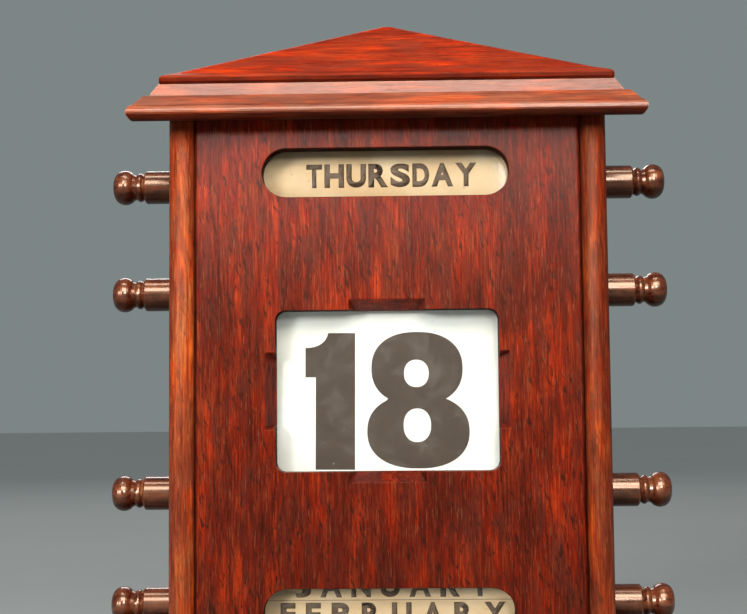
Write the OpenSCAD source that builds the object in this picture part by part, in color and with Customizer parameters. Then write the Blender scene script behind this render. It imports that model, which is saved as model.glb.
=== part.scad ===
// Wooden perpetual desk calendar.
// Two labelled drums show the day and the month. A linen band, wound between two
// rollers, shows the date. Every drum and roller turns by a knob at each end.
// Frame: +X right, +Y to the back, +Z up. Origin: centre of the base's underside.

/* [Case] */
// Width over the two side boards
case_w = 200; // [200:1:240]
// Depth from front edge to back edge
case_d = 90; // [90:1:110]
// Thickness of each side board
side_t = 12; // [11:0.5:14]
// Thickness of the front panel
panel_t = 11.5; // [9:0.5:11.5]
// How far the panel sits behind the side boards' front edges
panel_set_back = 2.5; // [1.5:0.5:2.5]
// Height from the plinth's top to the middle of the date window
below_date = 125; // [124:1:140]
// Height from the middle of the date window to the roof
above_date = 140; // [139:1:150]

/* [Windows] */
// Width of the date window
date_win_w = 101.4; // [80:0.1:104]
// Height of the date window
date_win_h = 73; // [60:1:73]
// Width of the day and month windows
name_win_w = 113; // [90:1:120]
// Height of the day and month windows
name_win_h = 22.5; // [18:0.5:24]
// How far right of the case's middle the windows are cut
window_x = -0.8; // [-1.5:0.1:1.5]
// Height of the name windows' centres above and below the date's
name_pitch = 99.7; // [98.7:0.5:102.7]

/* [Works] */
// Distance of every axis behind the case's front edge
axis_set_back = 40.5; // [40.5:0.5:44]
// Outside radius of the two name drums
drum_r = 25.5; // [23:0.1:25.5]
// Height of the date rollers above and below the date window's centre
roller_pitch = 47.5; // [47:0.5:49]
// Radius of the linen wound on the upper date roller
upper_coil_r = 12.7; // [11:0.1:14]
// Radius of the linen wound on the lower date roller
lower_coil_r = 12; // [11:0.1:14]
// Radius of the knob spigots that turn in the side boards
spigot_r = 5; // [4:0.5:5]

/* [Mouldings] */
// Height of the plinth
plinth_h = 24; // [20:1:30]
// How far the plinth stands out from the case
plinth_out = 15; // [12:0.5:18]
// Radius of the bead along the bottom of the cornice
bead_r = 3.6; // [3:0.1:3.8]
// How far the cornice stands out from the case
cornice_out = 16.4; // [15:0.1:18]
// Height of the roof's apex above its edge
roof_rise = 34.5; // [20:0.5:45]

/* [Back door] */
// Thickness of the back door
door_t = 6; // [5:0.5:7]
// Gap between the door and the case all round
door_gap = 0.8; // [0.6:0.1:1]

/* [Hidden] */
$fn = 96;

far = 400;                       // longer than any cut that has to pass right through
glue_gap = 0.02;                 // radial room in a glued joint
running_gap = 0.05;              // radial room where a spigot or a pin turns

// Case planes
half_w = case_w / 2;
inner_x = half_w - side_t;
front_y = -case_d / 2;
back_y = case_d / 2;
pad_t = 1;
plinth_top = pad_t + plinth_h;
date_z = plinth_top + below_date;
body_top = date_z + above_date;
body_h = body_top - plinth_top;
day_z = date_z + name_pitch;
month_z = date_z - name_pitch;
panel_y = front_y + panel_set_back;
panel_back = panel_y + panel_t;
panel_bevel = 1.2;               // along the panel's two long front edges
nose_depth = 4.5;                // depth of the rounding on a side board's front edge
nose_r = (pow(side_t / 2, 2) + pow(nose_depth, 2)) / (2 * nose_depth);

// Works
axis_y = front_y + axis_set_back;
roller_core_r = 9;
roller_end_gap = 1;
roller_half = inner_x - roller_end_gap;
socket_depth = 13;
drum_core_r = 8;
disc_t = 8;
card_t = 0.5;
sleeve_half = 70;
coil_half = 62;
band_t = 0.2;
rod_r = 3;
rod_socket = 6;
band_y = panel_back + 0.8;       // front face of the linen behind the date window
rod_y = band_y + band_t + glue_gap + rod_r;
rod_pitch = date_win_h / 2 + 6.5;
bearing_zs = [day_z, date_z + roller_pitch, date_z - roller_pitch, month_z];

// Mouldings, rails and roof
cornice_h = 18.8;
cornice_z = body_top - cornice_h;
soffit_h = 3.7;
cove_h = 5;                      // rise of the flat slope above the bead
fillet_back = 6.8;               // from the bead's nose back to the fillet
fillet_w = 1.9;
rail_h = 12;
rail_w = 14;
roof_out = 3.8;
roof_edge_h = 4.5;
roof_margin = 6;
roof_nose_r = 1.5;
roof_margin_rise = 2.1;
back_rail_y = back_y - door_t - rail_w - 0.2;
roof_screw_ys = [panel_back + rail_w / 2, back_rail_y + rail_w / 2];
roof_screw_x = 60;
base_screw_in = 20;              // of the plinth's screws from the case's front and back
frame_screw_r = 2;
screw_room = 0.15;               // radial room in a clearance hole
head_sunk = 0.3;                 // depth of a screw's head below the wood it bears on

// Window fittings
date_corner_r = 4.5;
notch_l = 34.8;                  // stopped chamfer in the middle of each side of the date window
notch_w = 4.8;
notch_depth = 7.5;
notch_end = 2.9;
glass_t = 1.2;
rebate_depth = 1.9;
rebate_lip = 4;
glass_play = 0.5;
sprig_r = 0.3;
sprig_l = 5;

// Knob, measured outwards from a side board's outer face
knob_gap = 0.6;
barrel_r = 7.9;
barrel_end = 17.4;
groove_r = 5.8;                  // grooves on both sides of the ring between barrel and ball
ring_r = 6.9;
ring_start = 18;
ring_end = 21.8;
ball_r = 8.3;
ball_end = 32.8;

// Hinges
hinge_l = 26;
hinge_t = door_gap;
leaf_w = 10;
knuckle_r = 2;
knuckle_play = 0.2;
pin_r = 0.8;
pin_x = -inner_x + door_gap / 2;
pin_y = back_y + knuckle_r + 0.1;
middle_knuckle = 8.4;
case_leaf_x = -inner_x - 0.02;   // where the hinge screws' heads start
door_leaf_x = -inner_x + door_gap + 0.02;
hinge_zs = [date_z - 90, date_z + 96];

// Turn button and pull
button_x = half_w - side_t / 2;
button_z = date_z + 40;
button_y = back_y + 0.4;
button_t = 2;
button_r = 4;
button_reach = 12;
button_screw_r = 1.4;
pull_x = inner_x - 12;

// ---------- helpers ----------

// A board between two opposite corners
module board(low, high) {
    translate(low) cube(high - low);
}

// A cylinder lying along X from x0 to x1
module x_cylinder(x0, x1, y, z, r) {
    translate([x0, y, z]) rotate([0, 90, 0]) cylinder(r = r, h = x1 - x0);
}

// Extrudes a profile drawn in (Y, Z) along X, centred on X = 0
module along_x(length) {
    translate([-length / 2, 0, 0]) rotate([90, 0, 90]) linear_extrude(length) children();
}

// A rectangle with rounded corners, made of squares and circles so that its arcs stay true
module rounded_rect(w, h, r) {
    square([w - 2 * r, h], center = true);
    square([w, h - 2 * r], center = true);
    for (sx = [-1, 1], sz = [-1, 1])
        translate([sx * (w / 2 - r), sz * (h / 2 - r)]) circle(r);
}

// Extrudes a shape drawn in (X, Z) from y0 to y1, centred on the windows at height z
module through_y(y0, y1, z) {
    translate([window_x, y1, z]) rotate([90, 0, 0]) linear_extrude(y1 - y0) children();
}

function arc(c, r, a0, a1, steps) =
    [for (i = [0:steps]) c + r * [cos(a0 + (a1 - a0) * i / steps), sin(a0 + (a1 - a0) * i / steps)]];

// A closed outline from its right-hand half, which is listed from the bottom to the top
function both_sides(half) =
    concat(half, [for (i = [len(half) - 1:-1:0]) if (half[i][0] > 0) [-half[i][0], half[i][1]]]);

// A wood screw pointing along +Z: countersunk head at z = 0, then a plain shank
module wood_screw(shank_r, length) {
    head_r = 2 * shank_r;
    head_h = shank_r;
    cylinder(r1 = head_r, r2 = shank_r, h = head_h);
    translate([0, 0, head_h]) cylinder(r = shank_r, h = length - head_h);
}

// ---------- case ----------

module side_board() {
    difference() {
        translate([0, 0, plinth_top]) linear_extrude(body_h) union() {
            translate([inner_x, front_y + nose_depth]) square([side_t, case_d - nose_depth]);
            intersection() {
                translate([half_w - side_t / 2, front_y + nose_r]) circle(nose_r);
                translate([inner_x, front_y]) square([side_t, nose_depth + glue_gap]);
            }
        }
        board([inner_x - 1, front_y - 1, cornice_z + soffit_h], [half_w + 1, panel_y, body_top + 1]);
        for (z = bearing_zs)
            x_cylinder(inner_x - 1, half_w + 1, axis_y, z, spigot_r + running_gap);
        for (s = [-1, 1])
            x_cylinder(inner_x - 1, inner_x + rod_socket, rod_y, date_z + s * rod_pitch, rod_r + glue_gap);
        base_screw_set(glue_gap);
    }
}

module left_side() {
    color("#7a2413") difference() {
        mirror([1, 0, 0]) side_board();
        for (z = hinge_zs)
            board([-inner_x - hinge_t, back_y - leaf_w, z - hinge_l / 2],
                  [-inner_x + 1, back_y + 1, z + hinge_l / 2]);
        hinge_screw_row(case_leaf_x, -90, glue_gap);
    }
}

module right_side() {
    color("#7a2413") difference() {
        side_board();
        translate([button_x, back_y + 1, button_z]) rotate([90, 0, 0])
            cylinder(r = button_screw_r + glue_gap, h = 13);
    }
}

module name_window() {
    rounded_rect(name_win_w, name_win_h, name_win_h / 2 - 0.01);
}

module rebate(w, h, z) {
    through_y(panel_back - rebate_depth, panel_back + 1, z)
        square([w + 2 * rebate_lip, h + 2 * rebate_lip], center = true);
}

// Stopped chamfer with sloping ends, cut downwards from an edge that lies along X
module stopped_chamfer() {
    intersection() {
        along_x(notch_l + 2)
            polygon([[-1, 1], [-1, -notch_w * (1 + 1 / notch_depth)], [notch_depth, 0], [notch_depth, 1]]);
        translate([0, 0, -notch_w - 1]) linear_extrude(notch_w + 2) polygon([
            [-notch_l / 2 - notch_end / notch_depth, -1], [notch_l / 2 + notch_end / notch_depth, -1],
            [notch_l / 2 - notch_end, notch_depth], [notch_end - notch_l / 2, notch_depth]]);
    }
}

// One chamfer in the middle of each side of the date window
module window_chamfers() {
    for (a = [0:90:270]) translate([window_x, panel_y, date_z]) rotate([0, a, 0])
        translate([0, 0, -(a % 180 == 0 ? date_win_h : date_win_w) / 2]) stopped_chamfer();
}

// Waste to cut away along one long edge of the panel
module panel_edge_cut(s) {
    over = 1;
    translate([0, 0, plinth_top - over]) linear_extrude(body_h + 2 * over) polygon([
        [s * (inner_x - panel_bevel - over), panel_y - over], [s * (inner_x + over), panel_y - over],
        [s * (inner_x + over), panel_y + panel_bevel + over]]);
}

module front_panel() {
    color("#6e1d10") difference() {
        board([-inner_x, panel_y, plinth_top], [inner_x, panel_back, body_top]);
        through_y(panel_y - 1, panel_back + 1, day_z) name_window();
        through_y(panel_y - 1, panel_back + 1, month_z) name_window();
        through_y(panel_y - 1, panel_back + 1, date_z)
            rounded_rect(date_win_w, date_win_h, date_corner_r);
        window_chamfers();
        for (s = [-1, 1]) panel_edge_cut(s);
        rebate(name_win_w, name_win_h, day_z);
        rebate(name_win_w, name_win_h, month_z);
        rebate(date_win_w, date_win_h, date_z);
    }
}

module pane(w, h, z) {
    color("lightcyan", 0.35)
        through_y(panel_back - rebate_depth, panel_back - rebate_depth + glass_t, z)
            square([w + 2 * rebate_lip - glass_play, h + 2 * rebate_lip - glass_play], center = true);
}

module day_glass() {
    pane(name_win_w, name_win_h, day_z);
}

module date_glass() {
    pane(date_win_w, date_win_h, date_z);
}

module month_glass() {
    pane(name_win_w, name_win_h, month_z);
}

// Headless brass pins driven into the rebate's edges behind each pane
module glazing_sprigs() {
    sprig_y = panel_back - rebate_depth + glass_t + sprig_r + glue_gap;
    color("goldenrod")
        for (win = [[day_z, name_win_w, name_win_h], [month_z, name_win_w, name_win_h],
                    [date_z, date_win_w, date_win_h]], sx = [-1, 1], sz = [-1, 1])
            translate([window_x + sx * win[1] / 3, sprig_y,
                       win[0] + sz * (win[2] / 2 + rebate_lip) - sprig_l / 2])
                cylinder(r = sprig_r, h = sprig_l);
}

// Triangular blocks glued into the corners behind the panel
module glue_blocks() {
    leg = 7;
    color("burlywood")
        for (s = [-1, 1], z = [[plinth_top + 3, 16], [date_z - 15, 30], [body_top - rail_h - 18, 16]])
            translate([s * inner_x, panel_back, z[0]]) linear_extrude(z[1])
                polygon([[0, 0], [-s * leg, 0], [0, leg]]);
}

// ---------- mouldings ----------

// Cornice section: [distance in front of the case, height]. A bead hangs below the soffit, then
// come a flat slope, a fillet and a steeper slope up to the roof.
function cornice_section() =
    let (k = cornice_out, r = bead_r)
    concat(
        [[-panel_set_back, soffit_h], [0, soffit_h]],
        arc([k - r, r], r, 180, 430, 20),
        [[k - fillet_back, 2 * r + cove_h], [k - fillet_back - fillet_w, 2 * r + cove_h],
         [roof_out, cornice_h], [-panel_set_back, cornice_h]]
    );

// Plinth section: a square board below, an ogee above that runs back to the case
function plinth_section() =
    let (k = plinth_out, board_h = plinth_h * 0.52, top = plinth_h)
    concat(
        [[-side_t, 0], [k, 0]],
        arc([k - 1.5, board_h - 1.5], 1.5, 0, 90, 6),
        [[k - 3.2, board_h]],
        [for (i = [0:12]) let (u = i / 12)
            [k - 3.7 - (k - 5.2) * (u - sin(360 * u) / 9), board_h + 0.8 + (top - board_h - 1.6) * u]],
        [[1.5, top], [-side_t, top]]
    );

// The front length of the plinth, mitred at both ends
module front_moulding() {
    reach = plinth_out + 5;
    intersection() {
        translate([half_w + reach, front_y, pad_t]) rotate([90, 0, -90])
            linear_extrude(case_w + 2 * reach) polygon(plinth_section());
        linear_extrude(far)
            polygon([[-half_w - reach, front_y - reach], [half_w + reach, front_y - reach],
                     [inner_x, front_y + side_t], [-inner_x, front_y + side_t]]);
    }
}

// The plinth's right-hand length, mitred at the front and square at the back
module side_moulding() {
    reach = plinth_out + 5;
    intersection() {
        translate([half_w, back_y, pad_t]) rotate([90, 0, 0])
            linear_extrude(case_d + reach) polygon(plinth_section());
        linear_extrude(far)
            polygon([[half_w + reach, front_y - reach], [half_w + reach, back_y],
                     [inner_x, back_y], [inner_x, front_y + side_t]]);
    }
}

// Screws that hold the roof to its two rails, and the plinth to the side boards
module roof_screw_set(grow) {
    for (x = [-roof_screw_x, roof_screw_x], y = roof_screw_ys)
        translate([x, y, body_top - rail_h + head_sunk]) wood_screw(frame_screw_r + grow, rail_h + 8);
}

module base_screw_set(grow) {
    for (s = [-1, 1], y = [front_y + base_screw_in, back_y - base_screw_in])
        translate([s * (half_w - side_t / 2), y, pad_t + head_sunk])
            wood_screw(frame_screw_r + grow, plinth_h + 12);
}

module screw_head_hole(depth) {
    cylinder(r = 2 * frame_screw_r + 2 * screw_room, h = depth);
}

module roof_screws() {
    color("goldenrod") roof_screw_set(0);
}

module base_screws() {
    color("goldenrod") base_screw_set(0);
}

// Right-hand end of the cornice seen from the front
function end_outline() =
    [for (q = cornice_section()) if (q[1] > soffit_h && q[0] > 0 || q[0] > cornice_out - bead_r) q];

// One length across the front, its ends cut to the outline of its section
module cornice() {
    color("#8a2c17") translate([0, 0, cornice_z]) intersection() {
        translate([half_w + cornice_out, front_y, 0]) rotate([90, 0, -90])
            linear_extrude(case_w + 2 * cornice_out) polygon(cornice_section());
        translate([0, panel_y + 1, 0]) rotate([90, 0, 0]) linear_extrude(far)
            polygon(both_sides(concat([[half_w, 0]], [for (q = end_outline()) q + [half_w, 0]])));
    }
}

module rail(y) {
    color("#7a3018") difference() {
        board([-inner_x, y, body_top - rail_h], [inner_x, y + rail_w, body_top]);
        roof_screw_set(screw_room);
        for (x = [-roof_screw_x, roof_screw_x], sy = roof_screw_ys)
            translate([x, sy, body_top - rail_h - 1]) screw_head_hole(1 + head_sunk);
    }
}

module roof_front_rail() {
    rail(panel_back);
}

module roof_back_rail() {
    rail(back_rail_y);
}

module front_plinth() {
    color("#6e1d10") front_moulding();
}

module right_plinth() {
    color("#6e1d10") difference() {
        side_moulding();
        base_screw_holes();
    }
}

module left_plinth() {
    color("#6e1d10") difference() {
        mirror([1, 0, 0]) side_moulding();
        base_screw_holes();
    }
}

// Clearance holes, open at the underside where the heads enter
module base_screw_holes() {
    base_screw_set(screw_room);
    for (s = [-1, 1], y = [front_y + base_screw_in, back_y - base_screw_in])
        translate([s * (half_w - side_t / 2), y, 0]) screw_head_hole(pad_t + head_sunk + 0.01);
}

module plinth_back_rail() {
    color("#6e1d10")
        board([-inner_x, back_y - side_t, pad_t], [inner_x, back_y, plinth_top]);
}

module base_board() {
    color("burlywood")
        board([-inner_x, front_y + side_t, pad_t], [inner_x, back_y - side_t, pad_t + 10]);
}

module baize_pad() {
    margin = 1.5;
    color("darkolivegreen")
        board([-half_w - plinth_out + margin, front_y - plinth_out + margin, 0],
              [half_w + plinth_out - margin, back_y - margin, pad_t]);
}

// Heights of the roof's outline at set distances in from its edge, the same on all four sides
function roof_edge() = let (r = roof_nose_r)
    concat([[0, 0]], arc([r, roof_edge_h - r], r, 180, 90, 4),
           [[roof_margin, roof_edge_h + roof_margin_rise]]);

// Half of the roof's outline, from its edge at distance w out to its middle
function roof_half(w) = concat([for (q = roof_edge()) [w - q[0], q[1]]], [[0, roof_edge_h + roof_rise]]);

// Low pyramid worked from one block, with a rounded edge and a narrow margin all round
module roof_block() {
    w = half_w + roof_out;
    d = (case_d + roof_out) / 2;
    color("#b1401f") difference() {
        translate([0, (back_y + front_y - roof_out) / 2, body_top]) intersection() {
            translate([0, d, 0]) rotate([90, 0, 0]) linear_extrude(2 * d)
                polygon(both_sides(roof_half(w)));
            translate([-w, 0, 0]) rotate([90, 0, 90]) linear_extrude(2 * w)
                polygon(both_sides(roof_half(d)));
        }
        roof_screw_set(glue_gap);
    }
}

// ---------- back door ----------

module hinge_leaf_blank(x0, x1, z) {
    difference() {
        union() {
            board([x0, back_y - leaf_w, z - hinge_l / 2], [x1, pin_y, z + hinge_l / 2]);
            translate([pin_x, pin_y, z - hinge_l / 2]) cylinder(r = knuckle_r, h = hinge_l);
        }
        translate([pin_x, pin_y, z - hinge_l]) cylinder(r = pin_r + 0.03, h = 2 * hinge_l);
    }
}

module hinge_case_leaves() {
    color("goldenrod") difference() {
        for (z = hinge_zs) hinge_leaf_blank(-inner_x - hinge_t, -inner_x, z);
        for (z = hinge_zs) translate([pin_x, pin_y, z - middle_knuckle / 2])
            cylinder(r = knuckle_r + knuckle_play, h = middle_knuckle);
        hinge_screw_row(case_leaf_x, -90, glue_gap);
    }
}

module hinge_door_leaves() {
    outer_l = (hinge_l - middle_knuckle) / 2 + knuckle_play + 1;
    color("goldenrod") difference() {
        for (z = hinge_zs) hinge_leaf_blank(-inner_x + door_gap, -inner_x + door_gap + hinge_t, z);
        for (z = hinge_zs, s = [-1, 1])
            translate([pin_x, pin_y, z + s * (middle_knuckle / 2 - knuckle_play + outer_l / 2)])
                cylinder(r = knuckle_r + knuckle_play, h = outer_l, center = true);
        hinge_screw_row(door_leaf_x, 90, glue_gap);
    }
}

// Each pin is as long as its knuckle, with a small button at both ends
module hinge_pins() {
    button_h = 1;
    color("goldenrod") for (z = hinge_zs) translate([pin_x, pin_y, z]) {
        cylinder(r = pin_r, h = hinge_l + button_h, center = true);
        for (s = [-1, 1])
            translate([0, 0, s * (hinge_l + button_h + 0.1) / 2])
                cylinder(r = 1.4, h = button_h, center = true);
    }
}

module hinge_screw_row(x, turn, grow) {
    for (z = hinge_zs, s = [-1, 1])
        translate([x, back_y - 5, z + s * 8]) rotate([0, turn, 0]) wood_screw(0.8 + grow, 8 + grow);
}

module hinge_case_screws() {
    color("goldenrod") hinge_screw_row(case_leaf_x, -90, 0);
}

module hinge_door_screws() {
    color("goldenrod") hinge_screw_row(door_leaf_x, 90, 0);
}

module back_door() {
    color("#7a3018") difference() {
        board([-inner_x + door_gap, back_y - door_t, plinth_top + door_gap],
              [inner_x - door_gap, back_y, body_top - door_gap]);
        for (z = hinge_zs)
            board([-inner_x + door_gap - 1, back_y - leaf_w, z - hinge_l / 2],
                  [-inner_x + door_gap + hinge_t, back_y + 1, z + hinge_l / 2]);
        hinge_screw_row(door_leaf_x, 90, glue_gap);
        translate([pull_x, back_y + 1, date_z]) rotate([90, 0, 0]) cylinder(r = 1.5 + glue_gap, h = door_t);
    }
}

// Strip on the right side board that the shut door rests against
module door_stop() {
    color("burlywood")
        board([inner_x - 5, back_y - door_t - 4.6, plinth_top + 2],
              [inner_x, back_y - door_t - 0.1, body_top - rail_h - 2]);
}

// Turned brass pull, drawn upright and then laid along +Y
module door_pull() {
    color("goldenrod") translate([pull_x, back_y, date_z]) rotate([-90, 0, 0]) {
        translate([0, 0, -4]) cylinder(r = 1.5, h = 4.5);
        cylinder(r1 = 4.5, r2 = 3.6, h = 1.6);
        cylinder(r = 2, h = 6);
        intersection() {
            translate([0, 0, 9]) sphere(4.6);
            translate([0, 0, 5]) cylinder(r = 6, h = 7.4);
        }
    }
}

module turn_button() {
    color("goldenrod") translate([button_x, button_y + button_t, button_z]) rotate([90, 0, 0])
        linear_extrude(button_t) difference() {
            union() {
                circle(button_r);
                translate([0, button_reach]) circle(button_r - 1);
                polygon([[-button_r, 0], [button_r, 0],
                         [button_r - 1, button_reach], [1 - button_r, button_reach]]);
            }
            circle(button_screw_r + running_gap);
        }
}

module turn_button_screw() {
    head_y = button_y + button_t + running_gap;
    color("goldenrod") translate([button_x, head_y, button_z]) rotate([90, 0, 0]) {
        cylinder(r = button_screw_r, h = 12);
        difference() {
            translate([0, 0, 2.2]) sphere(3.6);
            translate([0, 0, far / 2]) cube(far, center = true);
            translate([0, 0, -2]) cube([8, 0.7, 2], center = true);
        }
    }
}

// ---------- works ----------

// Knob and spigot turned from one piece, pointing along +X
module knob(z) {
    spigot_in = half_w - roller_half + socket_depth - 1;
    ball_mid = (ring_end + ball_end) / 2;
    profile = concat(
        [[0, -spigot_in], [spigot_r, -spigot_in], [spigot_r, knob_gap], [barrel_r - 0.6, knob_gap],
         [barrel_r, knob_gap + 0.8], [barrel_r, barrel_end - 0.8], [barrel_r - 0.7, barrel_end]],
        [for (i = [0:6])
            [groove_r + (ring_r - groove_r) * sin(30 * i), ring_start + (ring_end - ring_start) * i / 6]],
        [for (a = [-50:10:90]) [ball_r * pow(cos(a), 0.62), ball_mid + (ball_end - ball_mid) * sin(a)]]
    );
    color("#7d2f1b") translate([half_w, axis_y, z]) rotate([0, 90, 0]) rotate_extrude() polygon(profile);
}

module left_knob(z) {
    mirror([1, 0, 0]) knob(z);
}

// A dowel with a socket in each end for the knobs' spigots
module dowel(z, r) {
    color("burlywood") difference() {
        x_cylinder(-roller_half, roller_half, axis_y, z, r);
        for (x = [-roller_half - 1, roller_half - socket_depth])
            x_cylinder(x, x + socket_depth + 1, axis_y, z, spigot_r + glue_gap);
    }
}

module drum_discs(z) {
    color("burlywood") for (x = [-sleeve_half + 2, -disc_t / 2, sleeve_half - 2 - disc_t]) difference() {
        x_cylinder(x, x + disc_t, axis_y, z, drum_r - card_t - glue_gap);
        x_cylinder(x - 1, x + disc_t + 1, axis_y, z, drum_core_r + glue_gap);
    }
}

module label_sleeve(z) {
    color("#e8d3a6") difference() {
        x_cylinder(-sleeve_half, sleeve_half, axis_y, z, drum_r);
        x_cylinder(-sleeve_half - 1, sleeve_half + 1, axis_y, z, drum_r - card_t);
    }
}

module coil(z, r) {
    color("#efe9d8") difference() {
        x_cylinder(-coil_half, coil_half, axis_y, z, r);
        x_cylinder(-coil_half - 1, coil_half + 1, axis_y, z, roller_core_r + glue_gap);
    }
}

module guide_rod(z) {
    color("burlywood")
        x_cylinder(-inner_x - rod_socket + 0.5, inner_x + rod_socket - 0.5, rod_y, z, rod_r);
}

// Direction, in degrees in (Y, Z), from a centre to where the linen leaves the rod for a coil
function leave_angle(coil_r) =
    let (d = [axis_y - rod_y, roller_pitch - rod_pitch], span = norm(d))
    atan2(d[1], d[0]) + acos(-(coil_r - rod_r) / span);

// One edge of the linen, from the upper coil over both rods to the lower coil
function band_edge(grow) =
    let (a = leave_angle(upper_coil_r), b = leave_angle(lower_coil_r),
         up = [rod_y, date_z + rod_pitch], down = [rod_y, date_z - rod_pitch],
         coil_up = [axis_y, date_z + roller_pitch], coil_down = [axis_y, date_z - roller_pitch])
    concat([coil_up + (upper_coil_r + grow) * [cos(a), sin(a)]],
           arc(up, rod_r + grow, a, 180, 8),
           arc(down, rod_r + grow, 180, 360 - b, 8),
           [coil_down + (lower_coil_r + grow) * [cos(b), -sin(b)]]);

module date_band() {
    outer = band_edge(glue_gap + band_t);
    inner = band_edge(glue_gap);
    color("#f6f1e2") along_x(2 * coil_half)
        polygon(concat(outer, [for (i = [len(inner) - 1:-1:0]) inner[i]]));
}

left_side();
right_side();
front_panel();
cornice();
roof_front_rail();
roof_back_rail();
roof_block();
front_plinth();
left_plinth();
right_plinth();
plinth_back_rail();
base_board();
baize_pad();
glue_blocks();
roof_screws();
base_screws();
day_glass();
date_glass();
month_glass();
glazing_sprigs();
back_door();
door_stop();
hinge_case_leaves();
hinge_door_leaves();
hinge_pins();
hinge_case_screws();
hinge_door_screws();
door_pull();
turn_button();
turn_button_screw();
dowel(day_z, drum_core_r);  // day_drum_core
drum_discs(day_z);  // day_drum_discs
label_sleeve(day_z);  // day_label_sleeve
left_knob(day_z);  // day_left_knob
knob(day_z);  // day_right_knob
dowel(month_z, drum_core_r);  // month_drum_core
drum_discs(month_z);  // month_drum_discs
label_sleeve(month_z);  // month_label_sleeve
left_knob(month_z);  // month_left_knob
knob(month_z);  // month_right_knob
guide_rod(date_z + rod_pitch);  // upper_guide_rod
guide_rod(date_z - rod_pitch);  // lower_guide_rod
date_band();
dowel(date_z + roller_pitch, roller_core_r);  // date_upper_roller
coil(date_z + roller_pitch, upper_coil_r);  // date_upper_coil
left_knob(date_z + roller_pitch);  // date_upper_left_knob
knob(date_z + roller_pitch);  // date_upper_right_knob
dowel(date_z - roller_pitch, roller_core_r);  // date_lower_roller
coil(date_z - roller_pitch, lower_coil_r);  // date_lower_coil
left_knob(date_z - roller_pitch);  // date_lower_left_knob
knob(date_z - roller_pitch);  // date_lower_right_knob
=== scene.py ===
"""A wooden perpetual desk calendar: looks, printed names and figures, light and camera."""

import math

import bmesh
import bpy
from mathutils import Euler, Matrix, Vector


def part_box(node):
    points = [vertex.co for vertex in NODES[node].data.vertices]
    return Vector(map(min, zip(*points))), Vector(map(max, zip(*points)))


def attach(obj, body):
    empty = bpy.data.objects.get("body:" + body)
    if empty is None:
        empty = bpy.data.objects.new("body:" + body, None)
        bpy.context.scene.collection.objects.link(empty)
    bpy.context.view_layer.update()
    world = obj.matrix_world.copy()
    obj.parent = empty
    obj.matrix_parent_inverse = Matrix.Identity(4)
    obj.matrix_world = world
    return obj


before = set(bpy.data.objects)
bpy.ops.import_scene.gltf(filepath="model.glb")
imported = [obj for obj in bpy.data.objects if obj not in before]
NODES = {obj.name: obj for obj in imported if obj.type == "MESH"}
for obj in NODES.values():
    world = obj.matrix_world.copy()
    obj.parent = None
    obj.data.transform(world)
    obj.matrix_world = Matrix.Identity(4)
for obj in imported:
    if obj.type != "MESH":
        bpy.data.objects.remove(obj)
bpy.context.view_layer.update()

MM = 0.001
AXIS_NUMBER = {"X": 0, "Y": 1, "Z": 2}
INK_THICKNESS = 0.05 * MM
GLASS_IOR = 1.5
LETTER_WEIGHT = 0.045
LETTER_WIDTHS = {"A": 0.90, "D": 0.70, "E": 0.64, "F": 0.62, "I": 0.22, "J": 0.66, "L": 0.62, "M": 1.0,
                 "T": 0.66, "W": 1.05, "Y": 0.88}
USUAL_LETTER_WIDTH = 0.82


# ---------- shader helpers ----------

def new_material(name):
    """An empty node material with its Principled shader, as (material, tree, shader)."""
    material = bpy.data.materials.new(name)
    material.use_nodes = True
    tree = material.node_tree
    return material, tree, tree.nodes["Principled BSDF"]


def add(tree, kind, inputs=None, **settings):
    """Adds a shader node. An input may be a plain value or another node's output."""
    made = tree.nodes.new("ShaderNode" + kind)
    for key, value in settings.items():
        setattr(made, key, value)
    connect(tree, made, inputs or {})
    return made


def connect(tree, made, inputs):
    for key, value in inputs.items():
        if isinstance(value, bpy.types.NodeSocket):
            tree.links.new(value, made.inputs[key])
        else:
            made.inputs[key].default_value = value


def maths(tree, operation, a, b=0.0, clamp=False):
    return add(tree, "Math", {0: a, 1: b}, operation=operation, use_clamp=clamp).outputs[0]


def between(tree, value, low, high, to_low=0.0, to_high=1.0):
    """Maps value from low..high to to_low..to_high, held at both ends."""
    return add(tree, "MapRange", {"Value": value, "From Min": low, "From Max": high,
                                  "To Min": to_low, "To Max": to_high}).outputs[0]


def mix_colour(tree, factor, a, b, blend="MIX"):
    made = add(tree, "Mix", data_type="RGBA", blend_type=blend, clamp_factor=True)
    connect(tree, made, {0: factor, 6: a, 7: b})
    return made.outputs[2]


def noise(tree, vector, detail=3.0, roughness=0.55, distortion=0.0, scale=1.0):
    return add(tree, "TexNoise", {"Vector": vector, "Scale": scale, "Detail": detail,
                                  "Roughness": roughness, "Distortion": distortion}).outputs["Fac"]


def bump(tree, height, strength, distance, normal=None):
    inputs = {"Height": height, "Strength": strength, "Distance": distance}
    if normal is not None:
        inputs["Normal"] = normal
    return add(tree, "Bump", inputs).outputs["Normal"]


def millimetres(tree, shift_per_object=True):
    """Object coordinates in millimetres, shifted by a different amount on each object."""
    place = add(tree, "TexCoord").outputs["Object"]
    scaled = add(tree, "VectorMath", {0: place, 1: (1000, 1000, 1000)}, operation="MULTIPLY").outputs[0]
    if not shift_per_object:
        return scaled
    chance = add(tree, "ObjectInfo").outputs["Random"]
    shift = add(tree, "VectorMath", {0: (731.0, 517.0, 913.0), 3: chance}, operation="SCALE").outputs[0]
    return add(tree, "VectorMath", {0: scaled, 1: shift}, operation="ADD").outputs[0]


def along_grain(tree, vector, grain, across, along):
    """Scales a vector so that a noise of scale 1 is drawn out along the grain."""
    factors = [across] * 3
    factors[AXIS_NUMBER[grain]] = along
    return add(tree, "VectorMath", {0: vector, 1: factors}, operation="MULTIPLY").outputs[0]


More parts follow.
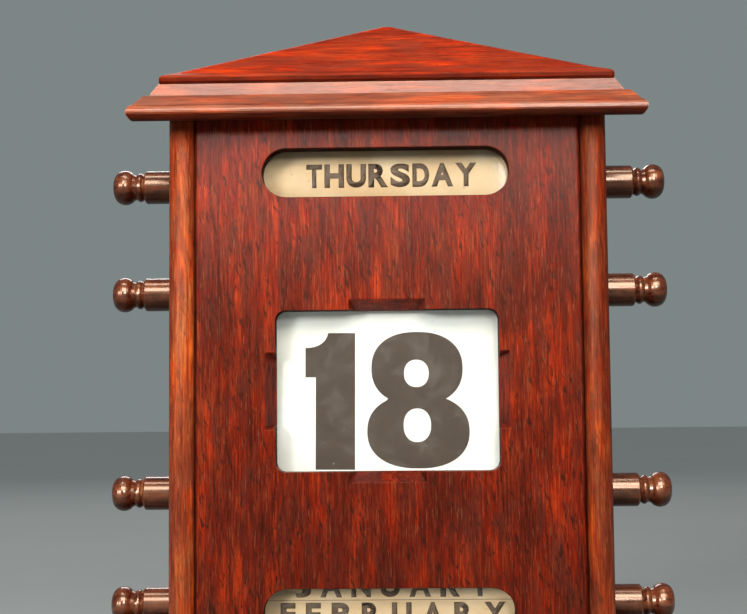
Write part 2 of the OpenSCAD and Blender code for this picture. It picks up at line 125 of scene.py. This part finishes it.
def edge_wear(tree, radius, samples=4):
    """0 on flat faces, towards 1 on outside and inside edges closer than radius."""
    rounded = add(tree, "Bevel", {"Radius": radius}, samples=samples).outputs[0]
    plain = add(tree, "NewGeometry").outputs["Normal"]
    dot = add(tree, "VectorMath", {0: rounded, 1: plain}, operation="DOT_PRODUCT").outputs["Value"]
    return between(tree, dot, 0.995, 0.8)


# ---------- materials ----------

def oak_streaks(tree, place, grain):
    """Noises drawn out along the grain: (broad blotches, streaks, fine threads, all as one tone)."""
    blotch = noise(tree, along_grain(tree, place, grain, 0.06, 0.02), 3.0)
    bands = noise(tree, along_grain(tree, place, grain, 0.4, 0.022), 4.0, 0.6, 0.4)
    streaks = noise(tree, along_grain(tree, place, grain, 1.3, 0.085), 4.0, 0.7)
    threads = noise(tree, along_grain(tree, place, grain, 2.6, 0.17), 3.0, 0.6)
    tone = maths(tree, "ADD", maths(tree, "MULTIPLY", bands, 0.35), maths(tree, "MULTIPLY", streaks, 0.65))
    tone = maths(tree, "ADD", tone, maths(tree, "MULTIPLY", maths(tree, "SUBTRACT", blotch, 0.5), 0.35))
    return blotch, streaks, threads, tone


def oak_colour(tree, place, grain, tone, dark, mid, light):
    """The stain's colour from dark through mid to light, livelier and duller in patches."""
    ramp = add(tree, "ValToRGB", {0: tone})
    stops = ramp.color_ramp.elements
    stops[0].position, stops[0].color = 0.36, (*dark, 1)
    stops[1].position, stops[1].color = 0.66, (*light, 1)
    middle = stops.new(0.5)
    middle.color = (*mid, 1)
    vivid = between(tree, noise(tree, along_grain(tree, place, grain, 0.16, 0.03), 3.0), 0.48, 0.64, 0.0, 0.9)
    colour = mix_colour(tree, vivid, ramp.outputs[0], (1.9, 1.35, 0.5, 1), "MULTIPLY")
    dull = between(tree, noise(tree, along_grain(tree, place, grain, 0.11, 0.035), 3.0, 0.6, 0.6),
                   0.50, 0.66, 0.0, 0.65)
    return mix_colour(tree, dull, colour, (0.75 * mid[0], 0.9 * mid[1] + 0.008, 0.9 * mid[2] + 0.007, 1))


def oak_marks(tree, place, grain, colour, pore, pores, dark, light):
    """Slanting dark flecks, fine pale rays and the open pores, drawn over the colour."""
    slant = add(tree, "VectorRotate", {"Vector": place, "Angle": math.radians(14)}, rotation_type="Y_AXIS")
    fleck = between(tree, noise(tree, along_grain(tree, slant.outputs[0], grain, 0.62, 0.13), 2.0, 0.6, 0.5),
                    0.57, 0.68, 0.0, 0.85 * pores)
    colour = mix_colour(tree, fleck, colour, (0.8 * dark[0], 0.9 * dark[1] + 0.003, 0.9 * dark[2] + 0.002, 1))
    ray = between(tree, noise(tree, along_grain(tree, place, grain, 1.9, 0.12), 2.0, 0.6, 0.3),
                  0.60, 0.70, 0.0, 0.35 * pores)
    colour = mix_colour(tree, ray, colour, (1.2 * light[0], 3 * light[1] + 0.02, 4 * light[2] + 0.02, 1))
    return mix_colour(tree, maths(tree, "MULTIPLY", pore, 0.75 * pores), colour,
                      tuple(0.35 * c for c in dark) + (1,))


def shut_from_light(tree, cut_shade, under_shade, under_from):
    """How much painted shade a face gets inside a cut-out or on an underside, up to the two shades."""
    facing = add(tree, "SeparateXYZ", {0: add(tree, "NewGeometry").outputs["True Normal"]})
    through = between(tree, maths(tree, "ABSOLUTE", facing.outputs["Y"]), 0.15, 0.3, cut_shade, 0.0)
    not_upward = between(tree, facing.outputs["Z"], 0.3, 0.6, 1.0, 0.0)
    under = between(tree, facing.outputs["Z"], under_from, under_from - 0.6, 0.0, under_shade)
    return maths(tree, "MAXIMUM", maths(tree, "MULTIPLY", through, not_upward), under)


def worn_edges_and_corner_shade(tree, place, colour, wear):
    """Rubbed edges, and painted shade that darkens the inside corners."""
    worn = maths(tree, "MULTIPLY", edge_wear(tree, 0.6 * MM),
                 between(tree, noise(tree, place, 2.0, scale=0.12), 0.42, 0.62, 0.0, wear))
    colour = mix_colour(tree, worn, colour, (0.40, 0.12, 0.04, 1))
    # painted shade: ambient occlusion darkens the colour in inside corners and grooves, where shadow falls
    corner = add(tree, "AmbientOcclusion", {"Distance": 3.0 * MM}, samples=4).outputs["AO"]
    painted_corner_shade = between(tree, corner, 0.35, 0.85, 0.85, 0.0)
    return mix_colour(tree, painted_corner_shade, colour, (0.012, 0.003, 0.002, 1))


def stained_oak(name, grain, dark, mid, light, gloss=0.3, pores=1.0, wear=0.6, polish=0.4,
                low_shade=0.0, cut_shade=0.0, under_shade=0.0, under_from=-0.15):
    """Open-grained oak under red stain and an old, slightly uneven varnish.

    gloss is the varnish's clear top coat and polish its warm sheen. low_shade, cut_shade and under_shade
    are how much painted shade darkens it and dulls its varnish low down, inside cut-outs and on undersides.
    """
    material, tree, shader = new_material(name)
    place = millimetres(tree)
    blotch, streaks, threads, tone = oak_streaks(tree, place, grain)
    pore = between(tree, threads, 0.56, 0.68)
    colour = oak_colour(tree, place, grain, tone, dark, mid, light)
    colour = oak_marks(tree, place, grain, colour, pore, pores, dark, light)
    height = add(tree, "SeparateXYZ", {0: add(tree, "TexCoord").outputs["Object"]}).outputs["Z"]
    # painted shade: the colour darkens towards the bottom of the piece, as if less light reached it there
    shade = between(tree, height, 0.03, 0.24, low_shade, 0.0)
    colour = mix_colour(tree, shade, colour, (0.45, 0.30, 0.22, 1), "MULTIPLY")
    painted_shade_mask = shut_from_light(tree, cut_shade, under_shade, under_from)
    open_to_light = maths(tree, "SUBTRACT", 1.0, painted_shade_mask)
    # painted shade: faces inside cut-outs and on undersides are darkened towards this colour, as if no light
    # reached them
    colour = mix_colour(tree, painted_shade_mask, colour, (0.13, 0.07, 0.06, 1), "MULTIPLY")
    coat = between(tree, height, 0.16, 0.26, gloss * (1 - low_shade), gloss)
    surface = bump(tree, pore, 0.5 * pores, -0.18 * MM)
    surface = bump(tree, streaks, 0.3, 0.14 * MM, surface)
    ripple = noise(tree, along_grain(tree, place, grain, 0.11, 0.02), 2.0)
    varnish = bump(tree, threads, 0.8 * pores, 0.30 * MM, bump(tree, ripple, 0.2, 0.4 * MM))
    connect(tree, shader, {
        "Base Color": worn_edges_and_corner_shade(tree, place, colour, wear),
        "Roughness": between(tree, streaks, 0.3, 0.7, 0.36, 0.52),
        "Normal": surface,
        "Specular IOR Level": maths(tree, "MULTIPLY", polish, open_to_light),
        "Specular Tint": (1.0, 0.50, 0.28, 1),
        "Coat Weight": maths(tree, "MULTIPLY", coat, open_to_light),
        "Coat Roughness": between(tree, blotch, 0.3, 0.7, 0.09, 0.20),
        "Coat Normal": varnish,
        "Coat IOR": 1.4,
    })
    return material


def plain_wood(name, grain, dark, light, rough=0.7):
    """Unvarnished inner wood with soft growth bands."""
    material, tree, shader = new_material(name)
    place = millimetres(tree)
    bands = noise(tree, along_grain(tree, place, grain, 0.5, 0.02), 4.0, 0.6, 0.4)
    fibres = noise(tree, along_grain(tree, place, grain, 4.0, 0.15), 3.0, 0.6)
    tone = maths(tree, "ADD", maths(tree, "MULTIPLY", bands, 0.65), maths(tree, "MULTIPLY", fibres, 0.35))
    colour = mix_colour(tree, between(tree, tone, 0.35, 0.65), (*dark, 1), (*light, 1))
    connect(tree, shader, {"Base Color": colour, "Roughness": rough,
                           "Normal": bump(tree, fibres, 0.4, 0.12 * MM)})
    return material


def turned_wood(name):
    """Dark red-brown varnish on the knobs, worn through to lighter wood on the high rings."""
    material, tree, shader = new_material(name)
    place = millimetres(tree)
    bands = noise(tree, along_grain(tree, place, "X", 0.5, 0.07), 4.0, 0.6)
    rings = noise(tree, along_grain(tree, place, "X", 0.15, 2.2), 3.0)
    colour = mix_colour(tree, between(tree, bands, 0.35, 0.68), (0.030, 0.005, 0.0028, 1),
                        (0.17, 0.034, 0.011, 1))
    patch = between(tree, noise(tree, place, 3.0, scale=0.22), 0.46, 0.66)
    worn = maths(tree, "MULTIPLY", maths(tree, "ADD", edge_wear(tree, 1.0 * MM), 0.12, True), patch)
    colour = mix_colour(tree, worn, colour, (0.45, 0.16, 0.055, 1))
    # painted shade: faces turned downwards are darkened towards near black, and their sheen is dimmed
    upright = add(tree, "SeparateXYZ", {0: add(tree, "NewGeometry").outputs["Normal"]}).outputs["Z"]
    open_to_light = between(tree, upright, -0.55, 0.15, 0.2, 1.0)
    colour = mix_colour(tree, open_to_light, (0.008, 0.002, 0.0015, 1), colour)
    surface = bump(tree, rings, 0.15, 0.10 * MM)
    connect(tree, shader, {
        "Base Color": colour, "Roughness": 0.27, "Normal": surface, "IOR": 1.7,
        "Specular IOR Level": maths(tree, "MULTIPLY", 0.8, open_to_light),
        "Specular Tint": (1.0, 0.60, 0.36, 1),
        "Coat Weight": maths(tree, "MULTIPLY", 0.5, open_to_light),
        "Coat Roughness": between(tree, patch, 0.0, 1.0, 0.12, 0.24),
        "Coat Normal": surface, "Coat IOR": 1.6,
    })
    return material


def aged_card(name):
    """Yellowed card with faint fibres and foxing."""
    material, tree, shader = new_material(name)
    place = millimetres(tree, False)
    clouds = noise(tree, place, 4.0, scale=0.05)
    fibres = noise(tree, place, 3.0, scale=2.5)
    spots = between(tree, noise(tree, place, 2.0, scale=0.35), 0.68, 0.76)
    colour = mix_colour(tree, between(tree, clouds, 0.35, 0.65), (0.74, 0.49, 0.27, 1), (0.86, 0.64, 0.40, 1))
    colour = mix_colour(tree, maths(tree, "MULTIPLY", fibres, 0.25), colour, (0.62, 0.42, 0.22, 1))
    colour = mix_colour(tree, maths(tree, "MULTIPLY", spots, 0.35), colour, (0.36, 0.19, 0.08, 1))
    connect(tree, shader, {"Base Color": colour, "Roughness": 0.8,
                           "Normal": bump(tree, fibres, 0.2, 0.05 * MM)})
    return material


def linen(name):
    """White sized linen: a fine plain weave, slightly yellowed in patches."""
    material, tree, shader = new_material(name)
    place = millimetres(tree, False)
    threads = []
    for direction in ("X", "Z"):
        wave = add(tree, "TexWave", {"Vector": place, "Scale": 0.75, "Distortion": 0.6,
                                     "Detail": 1.0, "Detail Scale": 1.0},
                   wave_type="BANDS", bands_direction=direction)
        threads.append(wave.outputs["Fac"])
    weave = maths(tree, "MULTIPLY", threads[0], threads[1])
    clouds = noise(tree, place, 3.0, scale=0.035)
    colour = mix_colour(tree, between(tree, clouds, 0.4, 0.7), (0.94, 0.93, 0.90, 1), (0.87, 0.83, 0.75, 1))
    colour = mix_colour(tree, maths(tree, "MULTIPLY", weave, 0.08), colour, (0.6, 0.56, 0.5, 1))
    connect(tree, shader, {"Base Color": colour, "Roughness": 0.85, "Sheen Weight": 0.1,
                           "Normal": bump(tree, weave, 0.15, 0.03 * MM)})
    return material


def printing_ink(name, dark, faded):
    """Old printer's ink, thin in places so that it is not one flat colour."""
    material, tree, shader = new_material(name)
    place = millimetres(tree, False)
    thin = noise(tree, place, 5.0, 0.65, scale=0.09)
    grains = noise(tree, along_grain(tree, place, "X", 1.6, 0.4), 3.0)
    fade = maths(tree, "ADD", maths(tree, "MULTIPLY", thin, 0.6), maths(tree, "MULTIPLY", grains, 0.4))
    colour = mix_colour(tree, between(tree, fade, 0.4, 0.65), (*dark, 1), (*faded, 1))
    connect(tree, shader, {"Base Color": colour, "Roughness": 0.6,
                           "Normal": bump(tree, grains, 0.2, 0.03 * MM)})
    return material


def brass(name):
    material, tree, shader = new_material(name)
    place = millimetres(tree)
    tarnish = between(tree, noise(tree, place, 4.0, scale=0.35), 0.38, 0.68)
    scratches = noise(tree, along_grain(tree, place, "Z", 5.0, 0.3), 3.0)
    colour = mix_colour(tree, tarnish, (0.80, 0.55, 0.22, 1), (0.33, 0.20, 0.08, 1))
    connect(tree, shader, {"Base Color": colour, "Metallic": 1.0,
                           "Roughness": between(tree, tarnish, 0, 1, 0.24, 0.5),
                           "Normal": bump(tree, scratches, 0.15, 0.03 * MM)})
    return material


def baize(name):
    material, tree, shader = new_material(name)
    place = millimetres(tree)
    fuzz = noise(tree, place, 5.0, 0.7, scale=1.8)
    clouds = noise(tree, place, 2.0, scale=0.05)
    colour = mix_colour(tree, fuzz, (0.012, 0.05, 0.02, 1), (0.05, 0.13, 0.055, 1))
    colour = mix_colour(tree, maths(tree, "MULTIPLY", clouds, 0.4), colour, (0.09, 0.12, 0.06, 1))
    connect(tree, shader, {"Base Color": colour, "Roughness": 0.95, "Sheen Weight": 0.6,
                           "Normal": bump(tree, fuzz, 0.7, 0.35 * MM)})
    return material


def window_glass(name):
    """Thin old glass: clear, faintly smeared, with a few specks that catch the light."""
    material, tree, shader = new_material(name)
    place = millimetres(tree, False)
    waviness = bump(tree, noise(tree, place, 1.0, scale=0.03), 0.2, 0.4 * MM)
    smear = between(tree, noise(tree, place, 4.0, 0.6, 0.5, 0.09), 0.5, 0.8, 0.0, 0.03)
    speck = add(tree, "TexVoronoi", {"Vector": place, "Scale": 0.09}).outputs["Distance"]
    dust = add(tree, "BsdfDiffuse", {"Color": (0.9, 0.88, 0.84, 1)}).outputs[0]
    clear = add(tree, "BsdfTransparent", {"Color": (0.965, 0.975, 0.965, 1)}).outputs[0]
    shine = add(tree, "BsdfGlossy", {"Color": (0.22, 0.22, 0.22, 1), "Roughness": 0.06, "Normal": waviness})
    inside = add(tree, "NewGeometry").outputs["Backfacing"]
    bending = between(tree, inside, 0, 1, GLASS_IOR, 1 / GLASS_IOR)
    edge = add(tree, "Fresnel", {"IOR": bending, "Normal": waviness}).outputs[0]
    body = add(tree, "MixShader", {0: edge, 1: clear, 2: shine.outputs[0]}).outputs[0]
    dirt = maths(tree, "ADD", smear, between(tree, speck, 0.03, 0.01, 0.0, 0.5), True)
    whole = add(tree, "MixShader", {0: dirt, 1: body, 2: dust}).outputs[0]
    tree.nodes.remove(shader)
    connect(tree, tree.nodes["Material Output"], {"Surface": whole})
    return material


def studio_floor(name):
    """Pale matt floor with a little light of its own, so that it stays even far from the lights."""
    material, tree, shader = new_material(name)
    place = add(tree, "TexCoord").outputs["Object"]
    tint = between(tree, noise(tree, place, 3.0, scale=3.0), 0.3, 0.7)
    colour = mix_colour(tree, tint, (0.27, 0.290, 0.286, 1), (0.30, 0.318, 0.312, 1))
    connect(tree, shader, {"Base Color": colour, "Roughness": 0.7, "Specular IOR Level": 0.2,
                           "Emission Color": (0.84, 0.93, 0.93, 1), "Emission Strength": 0.09})
    return material


# Each stain as its dark, middle and light colour.
RED = ((0.036, 0.0028, 0.0014), (0.108, 0.0070, 0.0028), (0.25, 0.030, 0.007))
AMBER = ((0.075, 0.008, 0.003), (0.215, 0.027, 0.0075), (0.42, 0.10, 0.022))
# AMBER in painted shade: the same stain made darker for the right stile, as if it caught less light
AMBER_IN_PAINTED_SHADE = ((0.050, 0.005, 0.002), (0.125, 0.014, 0.0042), (0.25, 0.055, 0.013))
ORANGE = ((0.10, 0.0075, 0.0025), (0.21, 0.017, 0.005), (0.30, 0.036, 0.008))
UMBER = ((0.07, 0.008, 0.0035), (0.17, 0.028, 0.010), (0.30, 0.075, 0.03))
WALNUT = ((0.12, 0.035, 0.014), (0.27, 0.09, 0.035), (0.42, 0.17, 0.07))
BARE_WOOD = ((0.30, 0.17, 0.08), (0.52, 0.34, 0.18))

FINISHES = {
    # painted shade: the panel darkens towards the bottom and, inside the window cut-outs, nearly to black
    "panel": stained_oak("oak_panel", "Z", *RED, gloss=0.2, wear=0.2, polish=0.15, low_shade=0.7,
                         cut_shade=0.95),
    "stile": stained_oak("oak_stile", "Z", *AMBER, gloss=0.06, pores=0.6, polish=0.35),
    # painted shade: the right stile gets the darker copy of the stain
    "stile_in_painted_shade": stained_oak("oak_dark_stile", "Z", *AMBER_IN_PAINTED_SHADE, gloss=0.06, pores=0.6, polish=0.3),
    # painted shade: the roof's upright and downward faces are darkened, as if shaded from the light above
    "roof": stained_oak("oak_roof", "X", *ORANGE, gloss=0.04, pores=0.5, polish=0.1, under_shade=0.8,
                        under_from=0.45),
    # painted shade: the mouldings' undersides are darkened, as if shaded from the light above
    "across": stained_oak("oak_moulding", "X", *UMBER, gloss=1.0, pores=0.2, polish=0.8, under_shade=0.9,
                          under_from=0.2),
    "sides": stained_oak("oak_side_moulding", "Y", *UMBER, gloss=0.5, pores=0.25, polish=1.0),
    "door": stained_oak("oak_door", "Z", *WALNUT, gloss=0.15, pores=0.8),
    "inner_x": plain_wood("inner_wood_x", "X", *BARE_WOOD),
    "inner_z": plain_wood("inner_wood_z", "Z", *BARE_WOOD),
    "knob": turned_wood("knob_varnish"),
    "card": aged_card("aged_card"),
    "linen": linen("white_linen"),
    "brass": brass("dull_brass"),
    "baize": baize("green_baize"),
    "glass": window_glass("window_glass"),
    "label_ink": printing_ink("label_ink", (0.085, 0.045, 0.022), (0.19, 0.12, 0.07)),
    "date_ink": printing_ink("date_ink", (0.055, 0.032, 0.020), (0.072, 0.044, 0.028)),
}

FINISH_OF_NODE = {
    "panel": ["front_panel"],
    "stile": ["left_side"],
    "stile_in_painted_shade": ["right_side"],
    "roof": ["roof_block"],
    "across": ["cornice", "front_plinth", "plinth_back_rail"],
    "sides": ["left_plinth", "right_plinth"],
    "door": ["back_door"],
    "inner_x": ["roof_front_rail", "roof_back_rail", "base_board", "door_stop", "day_drum_core",
                "month_drum_core", "upper_guide_rod", "lower_guide_rod", "date_upper_roller",
                "date_lower_roller"],
    "inner_z": ["glue_blocks", "day_drum_discs", "month_drum_discs"],
    "knob": [n for n in NODES if n.endswith("_knob")],
    "card": ["day_label_sleeve", "month_label_sleeve"],
    "linen": ["date_band", "date_upper_coil", "date_lower_coil"],
    "brass": [n for n in NODES if "screw" in n or "hinge" in n]
             + ["glazing_sprigs", "door_pull", "turn_button"],
    "baize": ["baize_pad"],
    "glass": ["day_glass", "date_glass", "month_glass"],
}


def dress_nodes():
    """Gives every CAD node its finish."""
    for finish, names in FINISH_OF_NODE.items():
        for name in names:
            NODES[name].data.materials.clear()
            NODES[name].data.materials.append(FINISHES[finish])


def ease_edges(name, width):
    """Rounds a board's sharp edges a little, as sanding and handling do."""
    piece = NODES[name]
    piece.modifiers.new("weld", "WELD").merge_threshold = 0.002 * MM
    bevel = piece.modifiers.new("eased_edges", "BEVEL")
    bevel.width = width
    bevel.segments = 2
    bevel.limit_method = "ANGLE"
    bevel.angle_limit = math.radians(35)
    bevel.use_clamp_overlap = False


# ---------- printed names and figures ----------

def flat_mesh(curve):
    """A filled curve's face-up mesh as a bmesh, in metres, drawn in X and Y."""
    holder = bpy.data.objects.new(curve.name, curve)
    bpy.context.scene.collection.objects.link(holder)
    mesh = bpy.data.meshes.new_from_object(holder.evaluated_get(bpy.context.evaluated_depsgraph_get()))
    bpy.data.objects.remove(holder)
    shape = bmesh.new()
    shape.from_mesh(mesh)
    bpy.data.meshes.remove(mesh)
    return shape


def letter_shape(letter, height):
    """One capital as a flat mesh standing on Y = 0 from X = 0, and its width."""
    curve = bpy.data.curves.new("letter", "FONT")
    curve.body = letter
    curve.offset = LETTER_WEIGHT
    curve.resolution_u = 6
    shape = flat_mesh(curve)
    bpy.data.curves.remove(curve)
    low = [min(v.co[k] for v in shape.verts) for k in (0, 1)]
    high = [max(v.co[k] for v in shape.verts) for k in (0, 1)]
    width = height * LETTER_WIDTHS.get(letter, USUAL_LETTER_WIDTH)
    for vertex in shape.verts:
        vertex.co.x = (vertex.co.x - low[0]) * width / (high[0] - low[0])
        vertex.co.y = (vertex.co.y - low[1]) * height / (high[1] - low[1])
    return shape, width


def word_shape(text, height, width):
    """One word as a flat mesh, centred, with even gaps that bring it to this width."""
    letters = [letter_shape(letter, height) for letter in text]
    gap = (width - sum(wide for _, wide in letters)) / (len(letters) - 1)
    word = bmesh.new()
    x = -width / 2
    for shape, wide in letters:
        bmesh.ops.translate(shape, vec=(x, -height / 2, 0), verts=shape.verts[:])
        mesh = bpy.data.meshes.new("letter")
        shape.to_mesh(mesh)
        word.from_mesh(mesh)
        bpy.data.meshes.remove(mesh)
        shape.free()
        x += wide + gap
    return word


def cut_in_strips(shape, pitch):
    """Cuts a flat mesh along evenly spaced lines, so that it can bend round a drum."""
    top = max(v.co.y for v in shape.verts)
    level = min(v.co.y for v in shape.verts) + pitch
    while level < top:
        bmesh.ops.bisect_plane(shape, geom=shape.verts[:] + shape.edges[:] + shape.faces[:],
                               plane_co=(0, level, 0), plane_no=(0, 1, 0), dist=1e-7)
        level += pitch


def join_printed(name, shapes, material, body):
    """Thickens flat shapes, each with its own placing function, and joins them in one piece."""
    whole = bmesh.new()
    for shape, place in shapes:
        made = bmesh.ops.extrude_face_region(shape, geom=shape.faces[:])
        top = set(v for v in made["geom"] if isinstance(v, bmesh.types.BMVert))
        for vertex in shape.verts:
            vertex.co = place(vertex.co.x, vertex.co.y, INK_THICKNESS if vertex in top else 0.0)
        mesh = bpy.data.meshes.new("part")
        shape.to_mesh(mesh)
        whole.from_mesh(mesh)
        bpy.data.meshes.remove(mesh)
        shape.free()
    bmesh.ops.recalc_face_normals(whole, faces=whole.faces[:])
    mesh = bpy.data.meshes.new(name)
    whole.to_mesh(mesh)
    whole.free()
    mesh.materials.append(material)
    piece = bpy.data.objects.new(name, mesh)
    bpy.context.scene.collection.objects.link(piece)
    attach(piece, body)
    return piece


def drum_surface(sleeve):
    """The drum's front as a function of (x, distance up round the drum, height above the card)."""
    low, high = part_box(sleeve)
    axis_y, axis_z = (low.y + high.y) / 2, (low.z + high.z) / 2
    radius = (high.z - low.z) / 2

    def place(x, up, out):
        angle = up / radius
        reach = radius + out
        return Vector((x, axis_y - reach * math.cos(angle), axis_z + reach * math.sin(angle)))

    return place, 2 * math.pi * radius


def print_names(name, sleeve, body, names, first, height, letter_pitch, widest, centre, drift):
    """Prints names round a drum. names[first] faces the front and the later ones follow below it.

    centre and drift are how far above and to the right of the drum's middle that name is printed.
    """
    surface, around = drum_surface(sleeve)
    pitch = around / len(names)
    shapes = []
    for number, text in enumerate(names):
        width = min(letter_pitch * (len(text) - 0.3), widest)
        shape = word_shape(text, height, width)
        cut_in_strips(shape, 1.0 * MM)
        up = centre - (number - first) * pitch
        shapes.append((shape, lambda x, y, out, up=up: surface(x + drift, y + up, out)))
    return join_printed(name, shapes, FINISHES["label_ink"], body)


def rule_shape(width, thickness):
    shape = bmesh.new()
    corners = [shape.verts.new((sx * width / 2, sy * thickness / 2, 0)) for sx, sy in
               ((-1, -1), (1, -1), (1, 1), (-1, 1))]
    shape.faces.new(corners)
    return shape


def print_rules(name, sleeve, body, count, width, thickness, level):
    """Thin printed lines between the names on a drum."""
    surface, around = drum_surface(sleeve)
    pitch = around / count
    shapes = [(rule_shape(width, thickness), lambda x, y, out, up=level + k * pitch: surface(x, y + up, out))
              for k in range(count)]
    return join_printed(name, shapes, FINISHES["label_ink"], body)


def superellipse(cx, cy, a, b, power, start=0.0, turn=360.0, steps=48):
    """Points on a squarish ellipse from start degrees, through turn degrees."""
    points = []
    for k in range(steps + 1):
        t = math.radians(start + turn * k / steps)
        c, s = math.cos(t), math.sin(t)
        points.append((cx + a * math.copysign(abs(c) ** (2 / power), c),
                       cy + b * math.copysign(abs(s) ** (2 / power), s)))
    return points


def outline_shape(outlines):
    """A flat mesh from closed outlines in millimetres; an outline inside another is a hole."""
    curve = bpy.data.curves.new("outline", "CURVE")
    curve.dimensions = "2D"
    curve.fill_mode = "BOTH"
    for points in outlines:
        spline = curve.splines.new("POLY")
        spline.points.add(len(points) - 1)
        for target, (x, y) in zip(spline.points, points):
            target.co = (x * MM, y * MM, 0, 1)
        spline.use_cyclic_u = True
    shape = flat_mesh(curve)
    bpy.data.curves.remove(curve)
    bmesh.ops.remove_doubles(shape, verts=shape.verts[:], dist=1e-7)
    return shape


def figure_one():
    """A heavy 1 with a hooked flag. Sizes in millimetres from the window's centre."""
    top, foot, flag_top, flag_foot = 26.5, -36.2, 19.7, 6.1
    left, flag_left, right = -33.9, -38.7, -15.8
    hook = []
    for k in range(13):
        t = k / 12
        hook.append((flag_left + (left + 5.6 - flag_left) * (1 - (1 - t) ** 1.5),
                     flag_top + (top - flag_top) * t ** 2.2))
    return [[(left, foot), (right, foot), (right, top)] + hook[::-1]
            + [(flag_left, flag_foot), (left, flag_foot)]]


def figure_eight():
    """A heavy 8: two squarish ovals that meet in a narrow waist, each with an eye."""
    waist = -3.9
    upper, lower = (12.7, 10.2, 21.0, 16.8), (13.3, -18.7, 23.5, 16.9)
    above = [q for q in superellipse(*upper, 2.3, -60, 300) if q[1] > waist]
    below = [q for q in superellipse(*lower, 2.3, 120, 300) if q[1] < waist]
    return [above + below, superellipse(12.4, 7.9, 5.7, 6.3, 2.2)[:-1],
            superellipse(12.8, -15.9, 6.3, 7.7, 2.2)[:-1]]


def print_date():
    """The 18 on the linen behind the date window, printed a touch out of square."""
    glass_low, glass_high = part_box("date_glass")
    centre_z = (glass_low.z + glass_high.z) / 2
    band_front = min(v.co.y for v in NODES["date_band"].data.vertices)
    tilt = math.radians(-0.5)

    def place(x, y, out):
        return Vector((x * math.cos(tilt) - y * math.sin(tilt), band_front - out,
                       centre_z + x * math.sin(tilt) + y * math.cos(tilt)))

    shapes = [(outline_shape(figure), place) for figure in (figure_one(), figure_eight())]
    return join_printed("date_figures", shapes, FINISHES["date_ink"], "case")


# ---------- studio ----------

def lay_floor():
    """A pale floor that runs back to a far edge."""
    mesh = bpy.data.meshes.new("studio_floor")
    reach = 10.0
    mesh.from_pydata([(-reach, -reach, 0), (reach, -reach, 0), (reach, reach, 0), (-reach, reach, 0)], [],
                     [(0, 1, 2, 3)])
    mesh.materials.append(studio_floor("pale_floor"))
    floor = bpy.data.objects.new("studio_floor", mesh)
    bpy.context.scene.collection.objects.link(floor)


def area_light(name, place, target, size, power, colour=(1, 1, 1)):
    light = bpy.data.lights.new(name, "AREA")
    light.shape = "RECTANGLE"
    light.size, light.size_y = size
    light.energy = power
    light.color = colour
    holder = bpy.data.objects.new(name, light)
    holder.location = place
    holder.rotation_euler = (Vector(target) - Vector(place)).to_track_quat("-Z", "Y").to_euler()
    bpy.context.scene.collection.objects.link(holder)


def light_studio():
    middle = (0, 0, 0.17)
    area_light("key_light", (0.03, -0.68, 0.66), (0, 0, 0.20), (0.74, 0.32), 8.0, (1, 0.96, 0.90))
    area_light("top_light", (-0.05, -0.26, 1.10), middle, (0.7, 0.14), 3.0, (1, 0.96, 0.90))
    area_light("sheen_light", (0.200, -1.047, 0.460), (0.072, -0.042, 0.265), (0.14, 0.20), 3.0)
    area_light("back_light", (-0.3, 1.7, 1.25), middle, (1.0, 0.4), 7)
    sun = bpy.data.lights.new("broad_light", "SUN")
    sun.energy, sun.angle = 2.1, math.radians(16)
    holder = bpy.data.objects.new("broad_light", sun)
    holder.rotation_euler = Vector((0.50, 0.84, -0.21)).to_track_quat("-Z", "Y").to_euler()
    bpy.context.scene.collection.objects.link(holder)
    world = bpy.data.worlds.new("studio")
    bpy.context.scene.world = world
    world.use_nodes = True
    tree = world.node_tree
    backdrop = add(tree, "Background", {"Color": (0.205, 0.238, 0.237, 1), "Strength": 1.0}).outputs[0]
    ambient = add(tree, "Background", {"Color": (0.62, 0.66, 0.68, 1), "Strength": 0.15}).outputs[0]
    seen = add(tree, "LightPath").outputs["Is Camera Ray"]
    both = add(tree, "MixShader", {0: seen, 1: ambient, 2: backdrop}).outputs[0]
    connect(tree, tree.nodes["World Output"], {"Surface": both})
    bpy.context.scene.view_settings.view_transform = "Standard"


def place_camera():
    """Looks slightly up at the front from about mid height, as the object was seen."""
    low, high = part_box("date_glass")
    date_centre = Vector((0, 0, (low.z + high.z) / 2))
    camera = bpy.data.objects.new("camera", bpy.data.cameras.new("camera"))
    camera.data.sensor_width = 36.0
    camera.data.lens = 66.97
    camera.location = date_centre + Vector((0.0061, -0.6705, -0.0095))
    swing = Euler((0, 0, 0.0204)).to_matrix()
    lift = Euler((0.075, 0, 0)).to_matrix()
    roll = Euler((0, 0.0093, 0)).to_matrix()
    look_level = Euler((math.pi / 2, 0, 0)).to_matrix()
    camera.rotation_euler = (swing @ lift @ roll @ look_level).to_euler()
    bpy.context.scene.collection.objects.link(camera)
    bpy.context.scene.camera = camera


DAYS = ["MONDAY", "TUESDAY", "WEDNESDAY", "THURSDAY", "FRIDAY", "SATURDAY", "SUNDAY"]
MONTHS = ["JANUARY", "FEBRUARY", "MARCH", "APRIL", "MAY", "JUNE", "JULY", "AUGUST", "SEPTEMBER",
          "OCTOBER", "NOVEMBER", "DECEMBER"]

dress_nodes()
for board in ("front_panel", "left_side", "right_side", "front_plinth", "left_plinth", "right_plinth"):
    ease_edges(board, 0.4 * MM)
ease_edges("back_door", 0.5 * MM)
ease_edges("roof_block", 1.5 * MM)
print_names("day_names", "day_label_sleeve", "day_drum", DAYS, DAYS.index("THURSDAY"),
            height=11.2 * MM, letter_pitch=10.3 * MM, widest=88 * MM, centre=0.4 * MM, drift=1.9 * MM)
print_names("month_names", "month_label_sleeve", "month_drum", MONTHS, MONTHS.index("FEBRUARY"),
            height=11.0 * MM, letter_pitch=13.3 * MM, widest=112 * MM, centre=-2.0 * MM, drift=0.6 * MM)
print_rules("month_rules", "month_label_sleeve", "month_drum", len(MONTHS),
            width=116 * MM, thickness=0.25 * MM, level=4.6 * MM)
print_date()
lay_floor()
light_studio()
place_camera()
